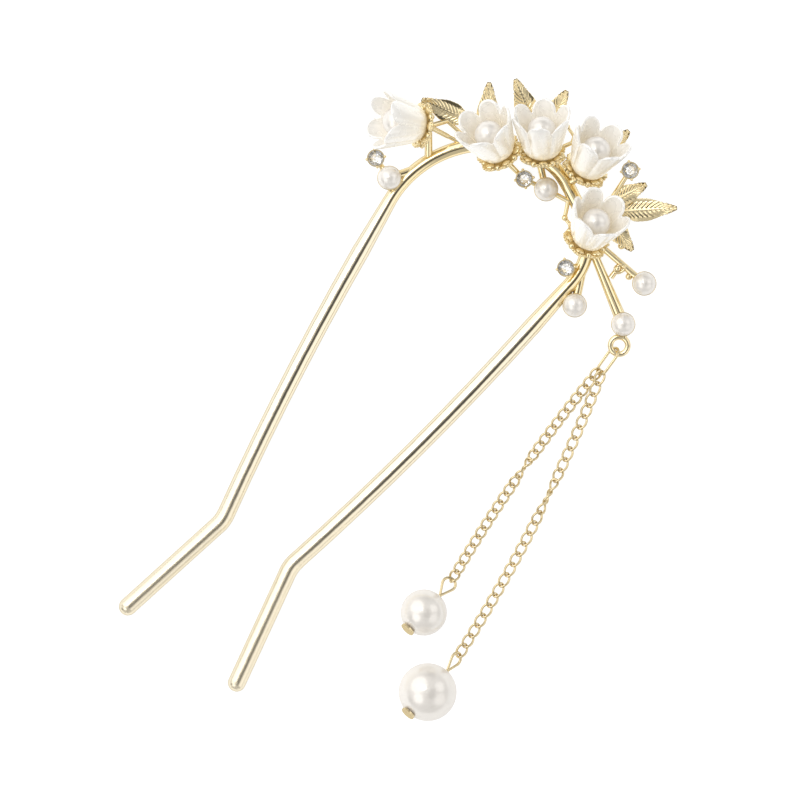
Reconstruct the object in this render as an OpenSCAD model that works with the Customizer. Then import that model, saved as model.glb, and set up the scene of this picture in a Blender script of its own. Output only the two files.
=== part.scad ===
/* [Fork] */
// Diameter of each leg
leg_d = 3.1; // [2.6:0.1:3.4]
// Diameter of the arch over the crown
arch_d = 2.4; // [2:0.1:2.6]
// Radius of the long left shoulder of the arch
left_shoulder_r = 19.5; // [18.5:0.25:20.5]
// Radius of the short turn right of the crown
crown_r = 10.6; // [9.6:0.2:11.4]
// Length of the straight stretch of the arch right of the crown
arch_flat = 5.2; // [4.4:0.2:6]
// Radius of the right shoulder of the arch
right_shoulder_r = 11; // [10:0.25:12]
// Length over which a leg thins to the arch
taper_len = 10; // [6:0.5:14]
// Radius of the slight bow of each leg
bow_r = 525; // [400:25:900]
// Length of the bowed stretch of the left leg
left_leg_len = 50.8; // [40:0.5:60]
// Length of the bowed stretch of the right leg
right_leg_len = 57.5; // [48:0.5:68]
// Radius of the bend between a leg and its tip
bend_r = 6; // [4:0.5:9]
// Angle by which a tip turns away from its leg
tip_flare = 23.5; // [15:0.5:32]
// Length of the straight stretch of each tip
tip_len = 20.9; // [10:0.5:24]

/* [Bells] */
// Radius of a bell at its petal tips
bell_r = 5.4; // [5:0.1:5.5]
// Height of a bell from its foot to its petal tips
bell_h = 8.7; // [8.2:0.1:9.2]
// Wall of a bell
bell_wall = 0.7; // [0.5:0.05:0.9]
// Share of a bell's height that the notches between petals reach down to
notch_share = 0.77; // [0.65:0.01:0.8]
// Share of a bell's radius that the creases between petals sink in
crease_share = 0.05; // [0:0.01:0.08]
// Diameter of the pearl in a bell
flower_pearl_d = 5; // [4.4:0.1:5.2]
// Height of that pearl's centre over the bell's foot
flower_pearl_lift = 5.2; // [4.8:0.1:5.6]
// Radius of the gold calyx under a bell
calyx_r = 4.1; // [3.6:0.1:4.4]
// Thickness of a calyx
calyx_wall = 0.6; // [0.4:0.05:0.8]

/* [Stones] */
// Diameter of the pearls set on the branches
branch_pearl_d = 4; // [3.6:0.1:4.1]
// Radius of the gold cup under a branch pearl
bezel_r = 1.88; // [1.7:0.02:1.96]
// Diameter of a cut crystal at its girdle
crystal_d = 2.5; // [2.2:0.1:2.7]
// Diameter of a prong
prong_d = 0.44; // [0.36:0.02:0.5]
// Diameter of the pegs that carry the pearls and bells
peg_d = 0.8; // [0.6:0.05:0.9]
// Clearance between a piece and what carries it
gap = 0.12; // [0.08:0.01:0.16]

/* [Spray] */
// Height that the spray's heights above the table are shares of
spray_h = 4; // [3.9:0.05:4.05]
// Diameter of a plain stem, which the radii of stems and granules are shares of
stem_d = 1; // [0.96:0.01:1.02]

/* [Leaves] */
// Thickness of a leaf
leaf_t = 0.5; // [0.4:0.05:0.7]
// Diameter of a leaf's raised midrib
midrib_d = 0.6; // [0.4:0.05:0.8]

/* [Tassel] */
// Diameter of the short strand's drop pearl
short_drop_d = 8; // [7:0.1:8.4]
// Diameter of the long strand's drop pearl
long_drop_d = 10; // [9:0.1:10.4]
// Spacing of the links in the short chain
short_pitch = 1.8; // [1.7:0.02:2]
// Spacing of the links in the long chain
long_pitch = 2.02; // [1.9:0.02:2.2]
// Outer width of a chain link
link_w = 2; // [1.8:0.05:2.1]
// Wire of a chain link
link_wire = 0.38; // [0.3:0.01:0.4]
// Play between one chain link and the next
link_play = 0.16; // [0.12:0.01:0.2]
// Wire of the joining link
joiner_wire = 0.52; // [0.48:0.02:0.56]
// Half width of the joining link, to the middle of its wire
joiner_half_w = 1.5; // [1.45:0.05:1.6]
// Length of the joining link, to the middle of its wire
joiner_len = 5.4; // [5:0.1:6]
// Roll of the joining link about its length
joiner_roll = 60; // [55:1:65]
// Radius of the eyelet, to the middle of its wire
eyelet_r = 1.5; // [1.4:0.05:1.6]
// Wire of the eyelet
eyelet_wire = 1; // [0.8:0.05:1.05]
// Wire of an eye pin
eye_wire = 0.5; // [0.44:0.02:0.52]
// Radius of an eye pin's loop, to the middle of its wire
loop_r = 1.15; // [1.05:0.05:1.3]
// Distance from an eye pin's neck to the middle of its loop
loop_reach = 2.7; // [2.4:0.1:3]
// Diameter of an eye pin's flat head
head_d = 2.55; // [1.8:0.05:2.8]
// Thickness of an eye pin's flat head
head_t = 0.3; // [0.2:0.05:0.4]
// Angle by which an eye pin dips towards its loop
pin_dip = 20; // [16:1:22]

/* [Hidden] */
leg_r = leg_d / 2;
arch_r = arch_d / 2;
PEG_R = peg_d / 2;
PETALS = 6;
STEPS_A_PETAL = 6;
LINK_STEPS = 12;
WIRE_STEPS = 5;

// The crown point that the arch and the spray are drawn from: x, y and the arch's heading there
CROWN = [0.6, 83.5, 7.5];
left_shoulder_turn = 88.6;
crown_turn = 34.4;
right_shoulder_turn = 69.1;
bow_left = left_leg_len / bow_r * 180 / PI;
bow_right = right_leg_len / bow_r * 180 / PI;

// A hair by which one piece of the fork is thicker than the next, and how far it laps over it
SEAM = 0.02;
LAP = 0.2;
// Path pieces: kind, length or radius, turn, metal's radius at the start and at the end, seams of swell
left_path = [
    ["bend", left_shoulder_r, left_shoulder_turn, arch_r, arch_r, 0],
    ["line", taper_len, 0, arch_r, leg_r, 1],
    ["bend", bow_r, bow_left, leg_r, leg_r, 0],
    ["bend", bend_r, -tip_flare, leg_r, leg_r, 1],
    ["tip", tip_len, 0, leg_r, leg_r, 0]
];
right_path = [
    ["bend", crown_r, -crown_turn, arch_r, arch_r, 2],
    ["line", arch_flat, 0, arch_r, arch_r, 1],
    ["bend", right_shoulder_r, -right_shoulder_turn, arch_r, arch_r, 0],
    ["line", taper_len, 0, arch_r, leg_r, 1],
    ["bend", bow_r, -bow_right, leg_r, leg_r, 0],
    ["bend", bend_r, tip_flare, leg_r, leg_r, 1],
    ["tip", tip_len, 0, leg_r, leg_r, 0]
];

function side_of(turn) = turn < 0 ? -1 : 1;
function hub(s, r, turn) = [s.x - side_of(turn) * r * sin(s.z), s.y + side_of(turn) * r * cos(s.z)];
function turned(s, r, turn) =
    let (c = hub(s, r, turn), k = side_of(turn) * r, h = s.z + turn)
    [c.x + k * sin(h), c.y - k * cos(h), h];
function moved(s, d) = [s.x + d * cos(s.z), s.y + d * sin(s.z), s.z];
function step_on(s, p) = p[0] == "bend" ? turned(s, p[1], p[2]) : moved(s, p[1]);
function states(s, path, i = 0) =
    i == len(path) ? [s] : concat([s], states(step_on(s, path[i]), path, i + 1));

LEFT = states([CROWN.x, CROWN.y, CROWN.z + 180], left_path);
RIGHT = states(CROWN, right_path);

// Points of the arch at the leg's height, after a turn along its left or right shoulder
function on_left(turn) = let (q = turned(LEFT[0], left_shoulder_r, turn)) [q.x, q.y, leg_r];
function on_right(turn) = let (q = turned(RIGHT[2], right_shoulder_r, -turn)) [q.x, q.y, leg_r];

// Size that the places of the spray are shares of, as their heights are of spray_h
spray_w = left_shoulder_r + crown_r + right_shoulder_r;
function spot(q) = [CROWN.x + q.x * spray_w, CROWN.y + q.y * spray_w, q.z * spray_h];

// Bells: place and height of the foot in shares of the spray, direction, lift and turn of the petals
ACROSS = 0;
ALONG = 1;
HEIGHT = 2;
BEARING = 3;
LIFT = 4;
PETAL_TURN = 5;
bells = [
    [-0.477, -0.180, 1.05, 208, 24, 37],
    [-0.146, -0.090, 1.1, 157.5, 41, 34],
    [0.000, 0.007, 1, 128, 32, 7],
    [0.178, 0.054, 0.925, 96, 36, 14],
    [0.353, -0.175, 1.025, 96.5, 47, 20]
];
BELLS = len(bells);
// Branch pearls: place and height of the centre in shares of the spray
pearls = [
    [-0.467, -0.443, 1.0375],
    [0.092, -0.095, 0.65],
    [0.657, -0.173, 0.65],
    [0.475, -0.418, 0.65],
    [0.686, -0.363, 0.65]
];
// Crystals: place and height of the girdle in shares of the spray
crystals = [
    [-0.562, -0.409, 0.825],
    [-0.007, -0.114, 0.75],
    [0.331, 0.175, 1.15],
    [0.353, -0.314, 1.125]
];
// Leaves: tip and base, each in shares of the spray, then width as a share of length
leaves = [
    [[-0.552, -0.097, 0.8], [-0.340, -0.055, 0.475], 0.42],
    [[-0.365, 0.129, 0.65], [-0.240, -0.060, 0.375], 0.40],
    [[-0.285, 0.204, 0.55], [-0.100, 0.085, 0.275], 0.42],
    [[-0.080, 0.292, 0.575], [-0.060, 0.100, 0.275], 0.46],
    [[0.229, 0.309, 0.65], [0.200, 0.140, 0.35], 0.42],
    [[0.421, 0.170, 0.75], [0.343, 0.017, 0.45], 0.45],
    [[0.584, 0.165, 0.65], [0.392, 0.010, 0.4], 0.38],
    [[0.538, -0.090, 0.55], [0.360, -0.040, 0.375], 0.46]
];
TIP = 0;
BASE = 1;
LEAF_W = 2;

function pearl_at(i) = spot(pearls[i]);
function crystal_at(i) = spot(crystals[i]);
function bell_foot(i) = spot([bells[i][ACROSS], bells[i][ALONG], bells[i][HEIGHT]]);
function aim(az, el) = [cos(az) * cos(el), sin(az) * cos(el), sin(el)];
function bell_axis(i) = aim(bells[i][BEARING], bells[i][LIFT]);
function in_bell(i, across, up, out) =
    let (axis = bell_axis(i), high = aim(bells[i][BEARING], bells[i][LIFT] + 90))
    bell_foot(i) + across * cross(high, axis) + up * high + out * axis;
// Radius of the ball that joins a calyx to its stem, and the ball's place under the dish
foot_r = 0.62 * stem_d;
foot_drop = gap + foot_r + 0.1;
function calyx_foot(i) = in_bell(i, 0, 0, -foot_drop);

// Outline of a bell: height share, then radius share
bell_outline = [[0, 0.1], [0.035, 0.36], [0.11, 0.53], [0.24, 0.64], [0.42, 0.74],
                [0.6, 0.83], [0.78, 0.915], [0.92, 0.966], [1, 0.972]];
// How far the wall leans inwards instead of upwards, by height share
wall_lean = [[0, 0], [0.035, 0.25], [0.11, 0.65], [0.24, 0.92], [1, 1]];
outer_rows = [0, 0.035, 0.11, 0.24, 0.42, 0.62, 0.82, 1];
inner_rows = [1, 0.7, 0.42, 0.14, 0];
PETAL_START = 0.42;
RIM_THIN = 0.8;
hole_r = PEG_R + gap;

function petal_rim(a) =
    let (d = abs((a % (360 / PETALS)) / (180 / PETALS) - 1))
    notch_share + (1 - notch_share) * sqrt(max(0, 1 - d * d));
function crease(a, v) =
    let (d = abs((a % (360 / PETALS)) / (180 / PETALS) - 1))
    1 - crease_share * d * d * min(1, v / PETAL_START);
function row_height(v, a) =
    v <= PETAL_START ? v : PETAL_START + (v - PETAL_START) * (petal_rim(a) - PETAL_START) / (1 - PETAL_START);
function bell_point(v, a, inside) =
    let (
        h = row_height(v, a),
        r = max(hole_r, bell_r * lookup(h, bell_outline) * crease(a, h)),
        lean = inside ? lookup(h, wall_lean) : 0,
        rise = inside ? sqrt(1 - lean * lean) : 0,
        wall = bell_wall * (1 - (1 - RIM_THIN) * h),
        q = max(hole_r, r - wall * lean)
    )
    [q * cos(a), q * sin(a), h * bell_h + wall * rise];
bell_rows = concat([for (v = outer_rows) [v, false]], [for (v = inner_rows) [v, true]]);
bell_steps = PETALS * STEPS_A_PETAL;
function bell_points(i) = [
    for (row = bell_rows)
    for (k = [0:bell_steps - 1])
    let (
        a = k * 360 / bell_steps,
        p = bell_point(row[0], a, row[1]),
        t = a + 180 / PETALS - bells[i][PETAL_TURN],
        r = norm([p.x, p.y])
    )
    in_bell(i, -r * sin(t), r * cos(t), p.z)
];
// Faces of a grid of rings that closes on itself both ways
function ring_faces(rings, steps) = [
    for (j = [0:rings - 1])
    for (k = [0:steps - 1])
    let (
        j2 = (j + 1) % rings,
        k2 = (k + 1) % steps,
        a = j * steps + k,
        b = j * steps + k2,
        c = j2 * steps + k2,
        d = j2 * steps + k
    )
    each [[a, b, c], [a, c, d]]
];

// Tassel: eyelet, joining link, chains, eye pins and drop pearls
EYELET_HIGH = 0.4375;
EYELET = spot([0.725, -0.445, EYELET_HIGH]);
TOWARDS_TIPS = -90;
joiner_r = joiner_wire / 2;
eye_r = eye_wire / 2;
joiner_mid = EYELET - [0, eyelet_r - eyelet_wire / 2 - joiner_r - gap + joiner_len / 2, 0];
// Places of the drop pearls from the eyelet, across and along, in shares of the long chain's length
long_chain_len = 52.6;
short_drop = [EYELET.x - 0.004 * long_chain_len, EYELET.y - 1.083 * long_chain_len, short_drop_d / 2];
long_drop = [EYELET.x + 0.159 * long_chain_len, EYELET.y - 1.286 * long_chain_len, long_drop_d / 2];
short_pin_bearing = 82;
long_pin_bearing = 83;
loop_bend = 6;
long_loop_roll = 45;
function neck(drop, d, bearing) = drop + (d / 2 + eye_r) * aim(bearing, -pin_dip);
function loop_mid(drop, d, bearing) =
    neck(drop, d, bearing) + loop_reach * aim(bearing + loop_bend, -pin_dip);
function loop_end(drop, d, bearing) = loop_mid(drop, d, bearing) + loop_r * aim(bearing + loop_bend, -pin_dip);

// Where each strand hangs on the joining link: sideways share of its half width
SHORT_HANG = -0.46;
LONG_HANG = 0.46;
function joiner_point(share) =
    let (across = share * joiner_half_w, down = sqrt(joiner_half_w * joiner_half_w - across * across))
    joiner_mid + [across * cos(joiner_roll), joiner_half_w - joiner_len / 2 - down, across * sin(joiner_roll)];

// Route of a strand: an arc from the joining link to the eye pin's loop, with its bow to one side
short_bow = -0.9;
long_bow = 1.4;
LINK_LIFT = 0.02;
FLOOR_Z = link_w / 2 + LINK_LIFT;
EASE = 9;
function strand_start(hang, bearing) =
    joiner_point(hang) - (joiner_r + link_play / 2) * [cos(bearing), sin(bearing), 0];
function strand_end(drop, d, bearing) =
    loop_end(drop, d, bearing) - (eye_r + link_play / 2) * aim(bearing + loop_bend, 0);
function bearing_of(v) = atan2(v.y, v.x);
function plan_gap(p, q) = norm([q.x - p.x, q.y - p.y]);
function links_in(p, q, pitch) = round(plan_gap(p, q) / pitch);
function on_strand(p, q, bow, u) =
    let (
        side = bearing_of(q - p) + 90,
        lift = bow * 4 * u * (1 - u)
    )
    p + u * (q - p) + lift * [cos(side), sin(side), 0];
function eased(z, far) = FLOOR_Z + (z - FLOOR_Z) * pow(max(0, 1 - far / EASE), 2);
function joint(p, q, bow, n, i) =
    let (c = on_strand(p, q, bow, i / n), z = i < n / 2 ? eased(p.z, i) : eased(q.z, n - i))
    [c.x, c.y, z];
// One point on the middle of a link's wire, t round the oval, rolling from one angle to another
function link_mid(t, half_len, half_w, roll_a, roll_b) =
    let (x = half_len * cos(t), roll = roll_a + (roll_b - roll_a) * (x / half_len + 1) / 2)
    [x, half_w * sin(t) * cos(roll), half_w * sin(t) * sin(roll)];
function link_normal(t, roll_a, roll_b) =
    let (roll = roll_a + (roll_b - roll_a) * (cos(t) + 1) / 2)
    [0, -sin(roll), cos(roll)];
function unit(v) = v / norm(v);
function link_points(from, to, half_w, roll_a, roll_b) =
    let (
        way = to - from,
        axis = unit(way),
        side = unit(cross([0, 0, 1], axis)),
        up = cross(axis, side),
        mid = (from + to) / 2,
        half_len = (norm(way) + link_wire + link_play) / 2
    )
    [
        for (k = [0:LINK_STEPS - 1])
        let (
            t = k * 360 / LINK_STEPS,
            c = link_mid(t, half_len, half_w, roll_a, roll_b),
            along = unit(link_mid(t + 2, half_len, half_w, roll_a, roll_b)
                         - link_mid(t - 2, half_len, half_w, roll_a, roll_b)),
            raw = link_normal(t, roll_a, roll_b),
            high = unit(raw - (raw * along) * along),
            out = cross(along, high)
        )
        for (m = [0:WIRE_STEPS - 1])
        let (
            w = m * 360 / WIRE_STEPS + 90,
            p = c + link_wire / 2 * (cos(w) * out + sin(w) * high)
        )
        mid + p.x * axis + p.y * side + p.z * up
    ];
// Extra roll of a strand about its own length at a joint, so that a few links stand on edge
function strand_roll(rolls, i) = lookup(i, rolls);
short_rolls = [[0, 0], [10, 0], [14, 180], [40, 180]];
long_rolls = [[0, 0], [9, 0], [14, 180], [40, 180]];

bell_xs = [for (p = bell_points(0)) p.x];
bell_ys = [for (i = [2, 3, 4]) for (p = bell_points(i)) p.y];
leaf_ys = [for (l = leaves) spot(l[TIP]).y];
left_tip = LEFT[len(left_path)];
right_tip = RIGHT[len(right_path)];
low_x = min([for (x = bell_xs) x]);
high_x = long_drop.x + long_drop_d / 2;
low_y = min(left_tip.y, right_tip.y) - leg_r;
high_y = max(max([for (y = bell_ys) y]), max([for (y = leaf_ys) y]));
MIDDLE = [-(low_x + high_x) / 2, -(low_y + high_y) / 2, 0];

module in_place() {
    translate(MIDDLE) children();
}

// A round rod between two points, its radius changing from one end to the other
module rod(p, q, r1, r2) {
    way = q - p;
    translate(p)
        rotate([0, acos(way.z / norm(way)), bearing_of(way)])
        cylinder(h = norm(way), r1 = r1, r2 = r2, $fn = 32);
}

module path_piece(s, p) {
    swell = p[5] * SEAM;
    lap = p[5] * LAP;
    if (p[0] == "line") {
        translate([s.x, s.y, leg_r])
            rotate([0, 90, s.z])
            translate([0, 0, -lap])
            cylinder(h = p[1] + 2 * lap, r1 = p[3] + swell, r2 = p[4] + swell, $fn = 48);
    } else if (p[0] == "tip") {
        translate([s.x, s.y, leg_r])
            rotate([0, 90, s.z])
            rotate_extrude($fn = 48)
            polygon(concat([[0, 0], [p[3], 0]],
                           [for (a = [0:15:90]) [p[3] * cos(a), p[1] + p[3] * sin(a)]]));
    } else {
        c = hub(s, p[1], p[2]);
        over = lap / p[1] * 180 / PI;
        start = p[2] < 0 ? s.z + 90 + p[2] : s.z - 90;
        translate([c.x, c.y, leg_r])
            rotate([0, 0, start - over])
            rotate_extrude(angle = abs(p[2]) + 2 * over, $fn = p[1] > 100 ? 720 : 96)
            translate([p[1], 0])
            circle(r = p[3] + swell, $fn = 48);
    }
}

module fork() {
    for (i = [0:len(left_path) - 1]) path_piece(LEFT[i], left_path[i]);
    for (i = [0:len(right_path) - 1]) path_piece(RIGHT[i], right_path[i]);
}

module at_bell(i) {
    translate(bell_foot(i)) rotate([0, 90 - bells[i][LIFT], bells[i][BEARING]]) children();
}

CALYX_BOWL_SHARE = 2.2;
calyx_bowl_r = calyx_r * CALYX_BOWL_SHARE;
LOBES = 6;
// A shallow scalloped dish with the peg that carries the bell and its pearl
module calyx(i) {
    lobe_r = calyx_r * 0.37;
    at_bell(i) {
        intersection() {
            translate([0, 0, calyx_bowl_r - gap])
                difference() {
                    sphere(r = calyx_bowl_r + calyx_wall, $fn = 64);
                    sphere(r = calyx_bowl_r, $fn = 64);
                }
            translate([0, 0, -gap - 2 * calyx_wall])
                linear_extrude(height = calyx_r) {
                    circle(r = calyx_r * 0.66, $fn = 48);
                    for (k = [0:LOBES - 1])
                        rotate(k * 360 / LOBES) translate([calyx_r - lobe_r, 0]) circle(r = lobe_r, $fn = 32);
                }
        }
        translate([0, 0, -gap - calyx_wall / 2])
            cylinder(h = flower_pearl_lift + gap + calyx_wall / 2, r = PEG_R, $fn = 32);
        translate([0, 0, -foot_drop]) sphere(r = foot_r, $fn = 32);
    }
}

bezel_floor = 0.3;
bezel_foot = branch_pearl_d / 2 + gap + bezel_floor;
// The block of a cup for a branch pearl, the round seat cut in it, and the peg that holds the pearl
module bezel(i) {
    translate(pearl_at(i) - [0, 0, bezel_foot]) cylinder(h = bezel_foot * 0.8, r = bezel_r, $fn = 48);
}

module seat(i) {
    translate(pearl_at(i)) sphere(r = branch_pearl_d / 2 + gap, $fn = 64);
}

module seat_peg(i) {
    translate(pearl_at(i) - [0, 0, bezel_foot - 0.1]) cylinder(h = bezel_foot - 0.1, r = PEG_R, $fn = 32);
}

girdle_r = crystal_d / 2;
CUP_WALL = 0.16;
CUP_FLOOR = 0.25;
CUP_FOOT_R = 0.6;
SEAT_PLAY = 0.04;
PRONG_H = 0.75;
cup_r = girdle_r + gap + CUP_WALL;
cup_depth = 1.35;
cup_lip = 0.2;
// A cone cup with four prongs for a crystal
module prong_setting(i) {
    inner_r = girdle_r + gap + SEAT_PLAY;
    prong_r = prong_d / 2;
    translate(crystal_at(i)) {
        rotate_extrude($fn = 48)
            polygon([[0, -cup_depth], [CUP_FOOT_R, -cup_depth], [cup_r, -cup_lip], [cup_r, 0],
                     [inner_r, 0], [inner_r, -cup_lip], [CUP_FOOT_R - CUP_FLOOR, CUP_FLOOR - cup_depth],
                     [0, CUP_FLOOR - cup_depth]]);
        for (k = [0:3])
            rotate([0, 0, 45 + 90 * k])
            translate([girdle_r + gap + prong_r, 0, -cup_lip * 2]) {
                cylinder(h = PRONG_H, r = prong_r, $fn = 20);
                translate([0, 0, PRONG_H]) sphere(r = prong_r * 1.12, $fn = 20);
            }
    }
}

// Outline of a leaf: share of its length from the base, then share of its half width
leaf_outline = [[0, 0.14], [0.08, 0.44], [0.2, 0.8], [0.34, 0.99], [0.48, 0.97],
                [0.62, 0.79], [0.76, 0.52], [0.88, 0.25], [1, 0]];
// A pointed leaf, curved across, with a raised midrib
module leaf(i) {
    base = spot(leaves[i][BASE]);
    tip = spot(leaves[i][TIP]);
    way = tip - base;
    len = norm(way);
    half_w = leaves[i][LEAF_W] * len / 2;
    one_side = [for (p = leaf_outline) [p.x * len, p.y * half_w]];
    other_side = [for (k = [len(leaf_outline) - 2:-1:0]) [one_side[k].x, -one_side[k].y]];
    curve_r = half_w * 2.2;
    translate(base) rotate([0, -asin(way.z / len), bearing_of(way)]) {
        intersection() {
            translate([0, 0, -half_w])
                linear_extrude(height = 2 * half_w)
                polygon(concat(one_side, other_side));
            translate([0, 0, leaf_t / 2 - curve_r]) rotate([0, 90, 0]) difference() {
                cylinder(h = len, r = curve_r, $fn = 64);
                translate([0, 0, -1]) cylinder(h = len + 2, r = curve_r - leaf_t, $fn = 64);
            }
        }
        translate([len * 0.02, 0, leaf_t / 2 - 0.1])
            rotate([0, 90, 0])
            cylinder(h = len * 0.9, r1 = midrib_d / 2, r2 = midrib_d / 6, $fn = 20);
    }
}

function low(p, high) = [p.x, p.y, high * spray_h];
CUP_SINK = 0.15;
function cup_foot(i) = crystal_at(i) - [0, 0, cup_depth + CUP_SINK];
// Stems: from, to, and radius at each end as a share of a plain stem's diameter
STEM_HIGH = 0.35;
function stems() =
    let (
        foot_1 = calyx_foot(0),
        foot_2 = calyx_foot(1),
        foot_3 = calyx_foot(2),
        foot_4 = calyx_foot(3),
        foot_5 = calyx_foot(4),
        leaf_base = [for (l = leaves) spot(l[BASE])],
        p1 = low(pearl_at(0), 0.6),
        shoulder = spot([0.28, -0.095, STEM_HIGH]),
        fork_f = spot([0.355, 0.005, STEM_HIGH])
    )
    [
        [foot_1, on_left(60), 0.6, 0.7],
        [foot_2, on_left(19), 0.6, 0.7],
        [foot_3, on_left(1), 0.6, 0.7],
        [foot_4, [RIGHT[1].x, RIGHT[1].y, leg_r], 0.6, 0.7],
        [foot_5, on_right(30), 0.6, 0.7],
        [p1, on_left(66), 0.7, 0.7],
        [p1, cup_foot(0), 0.6, 0.4],
        [foot_1, spot([-0.41, -0.106, 0.575]), 0.45, 0.42],
        [spot([-0.425, -0.106, 0.58]), spot([-0.33, -0.115, 0.425]), 0.36, 0.34],
        [foot_1, spot([-0.37, -0.157, 0.55]), 0.45, 0.42],
        [spot([-0.386, -0.16, 0.565]), spot([-0.30, -0.145, 0.425]), 0.36, 0.34],
        [leaf_base[0], on_left(32), 0.5, 0.5],
        [leaf_base[1], on_left(28), 0.6, 0.6],
        [leaf_base[2], on_left(6), 0.5, 0.5],
        [leaf_base[3], on_left(2), 0.5, 0.5],
        [leaf_base[4], [RIGHT[1].x, RIGHT[1].y, leg_r], 0.5, 0.6],
        [shoulder, on_right(4), 0.7, 0.8],
        [shoulder, fork_f, 0.72, 0.66],
        [fork_f, leaf_base[5], 0.58, 0.48],
        [spot([0.347, -0.004, 0.34]), leaf_base[6], 0.54, 0.46],
        [spot([0.285, -0.09, 0.345]), leaf_base[7], 0.6, 0.5],
        [spot([0.34, -0.015, 0.325]), cup_foot(2), 0.46, 0.4],
        [foot_2, cup_foot(1) + [0.1, 0, -0.1], 0.5, 0.4],
        [cup_foot(1), low(pearl_at(1), 0.3), 0.34, 0.5],
        [low(pearl_at(1), 0.3), on_left(2), 0.6, 0.6],
        [on_right(50), cup_foot(3), 0.55, 0.4],
        [on_right(26), low(pearl_at(4), 0.375), 0.62, 1.1],
        [on_right(22), low(pearl_at(2), 0.325), 0.55, 0.62],
        [on_right(38), low(pearl_at(3), 0.325), 0.65, 0.8],
        [low(pearl_at(4), EYELET_HIGH), EYELET + [0, eyelet_r, 0], 0.5, 0.5],
        [low(pearl_at(1), 0.425), spot([0.2, -0.08, 0.475]), 0.46, 0.42],
        [spot([0.195, -0.078, 0.4875]), spot([0.226, -0.146, 0.475]), 0.38, 0.36],
        [spot([0.226, -0.146, 0.475]), spot([0.31, -0.17, 0.45]), 0.34, 0.34],
        [on_left(-2), spot([0.04, 0.085, 0.375]), 0.44, 0.42],
        [spot([0.04, 0.083, 0.375]), spot([0.066, 0.127, 0.4]), 0.38, 0.38],
        [spot([0.066, 0.125, 0.4]), spot([0.058, 0.155, 0.4]), 0.34, 0.34],
        [spot([0.058, 0.153, 0.4]), spot([0.012, 0.17, 0.4]), 0.3, 0.28],
        [spot([0.53, -0.187, 0.375]), spot([0.53, -0.236, 0.375]), 0.45, 0.5]
    ];
// Round granules on the stems: place, and radius as a share of a plain stem's diameter
granules = [
    [[0.226, -0.146, 0.5], 0.55],
    [[0.487, -0.101, 0.4], 0.62],
    [[0.588, -0.187, 0.35], 0.6],
    [[0.53, -0.187, 0.4], 0.7],
    [[0.012, 0.17, 0.4], 0.45]
];

module eyelet() {
    translate(EYELET)
        rotate_extrude($fn = 64)
        translate([eyelet_r, 0])
        circle(r = eyelet_wire / 2, $fn = 32);
}

module pin_frame() {
    color("gold") in_place() {
        difference() {
            union() {
                fork();
                for (i = [0:BELLS - 1]) calyx(i);
                for (i = [0:len(pearls) - 1]) bezel(i);
                for (i = [0:len(crystals) - 1]) prong_setting(i);
                for (i = [0:len(leaves) - 1]) leaf(i);
                for (s = stems()) rod(s[0], s[1], s[2] * stem_d, s[3] * stem_d);
                for (g = granules) translate(spot(g[0])) sphere(r = g[1] * stem_d, $fn = 32);
                eyelet();
            }
            for (i = [0:len(pearls) - 1]) seat(i);
        }
        for (i = [0:len(pearls) - 1]) seat_peg(i);
    }
}

// A six-petal bell with a hole in its foot for the peg
module flower(i) {
    color("ivory") in_place()
        polyhedron(points = bell_points(i), faces = ring_faces(len(bell_rows), bell_steps));
}

// A pearl drilled from below to past its middle
module drilled_pearl(d) {
    difference() {
        sphere(r = d / 2, $fn = 64);
        translate([0, 0, -d]) cylinder(h = d + gap, r = hole_r, $fn = 32);
    }
}

module flower_pearl(i) {
    color("seashell") in_place()
        at_bell(i) translate([0, 0, flower_pearl_lift]) drilled_pearl(flower_pearl_d);
}

module branch_pearl(i) {
    color("seashell") in_place()
        translate(pearl_at(i)) drilled_pearl(branch_pearl_d);
}

FACETS = 8;
// Rings of a cut crystal: radius share, height share, turn in half facets
crystal_rings = [[0.56, 0.34, 0], [1, 0.06, 1], [1, -0.06, 1]];
culet_share = -0.74;
function crystal_points() = concat(
    [for (ring = crystal_rings) for (k = [0:FACETS - 1])
        let (a = (k + ring[2] / 2) * 360 / FACETS)
        [girdle_r * ring[0] * cos(a), girdle_r * ring[0] * sin(a), girdle_r * ring[1]]],
    [[0, 0, girdle_r * culet_share]]
);
function crystal_faces() = concat(
    [[for (k = [0:FACETS - 1]) FACETS - 1 - k]],
    [for (k = [0:FACETS - 1]) let (n = (k + 1) % FACETS) [k, n, FACETS + k]],
    [for (k = [0:FACETS - 1]) let (n = (k + 1) % FACETS) [n, FACETS + n, FACETS + k]],
    [for (k = [0:FACETS - 1]) let (n = (k + 1) % FACETS)
        [FACETS + k, FACETS + n, 2 * FACETS + n, 2 * FACETS + k]],
    [for (k = [0:FACETS - 1]) let (n = (k + 1) % FACETS) [2 * FACETS + k, 2 * FACETS + n, 3 * FACETS]]
);
module crystal(i) {
    color("white") in_place()
        translate(crystal_at(i)) polyhedron(points = crystal_points(), faces = crystal_faces());
}

// An oval link of round wire with half-round ends
module joining_link() {
    straight = joiner_len / 2 - joiner_half_w;
    color("gold") in_place()
        translate(joiner_mid) rotate([0, 0, TOWARDS_TIPS]) rotate([joiner_roll, 0, 0])
        for (k = [0, 1]) rotate([0, 0, 180 * k]) {
            translate([straight, 0, 0])
                rotate([0, 0, -90])
                rotate_extrude(angle = 180, $fn = 64)
                translate([joiner_half_w, 0])
                circle(r = joiner_r, $fn = 24);
            translate([-straight, joiner_half_w, 0])
                rotate([0, 90, 0])
                cylinder(h = 2 * straight, r = joiner_r, $fn = 24);
        }
}

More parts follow.
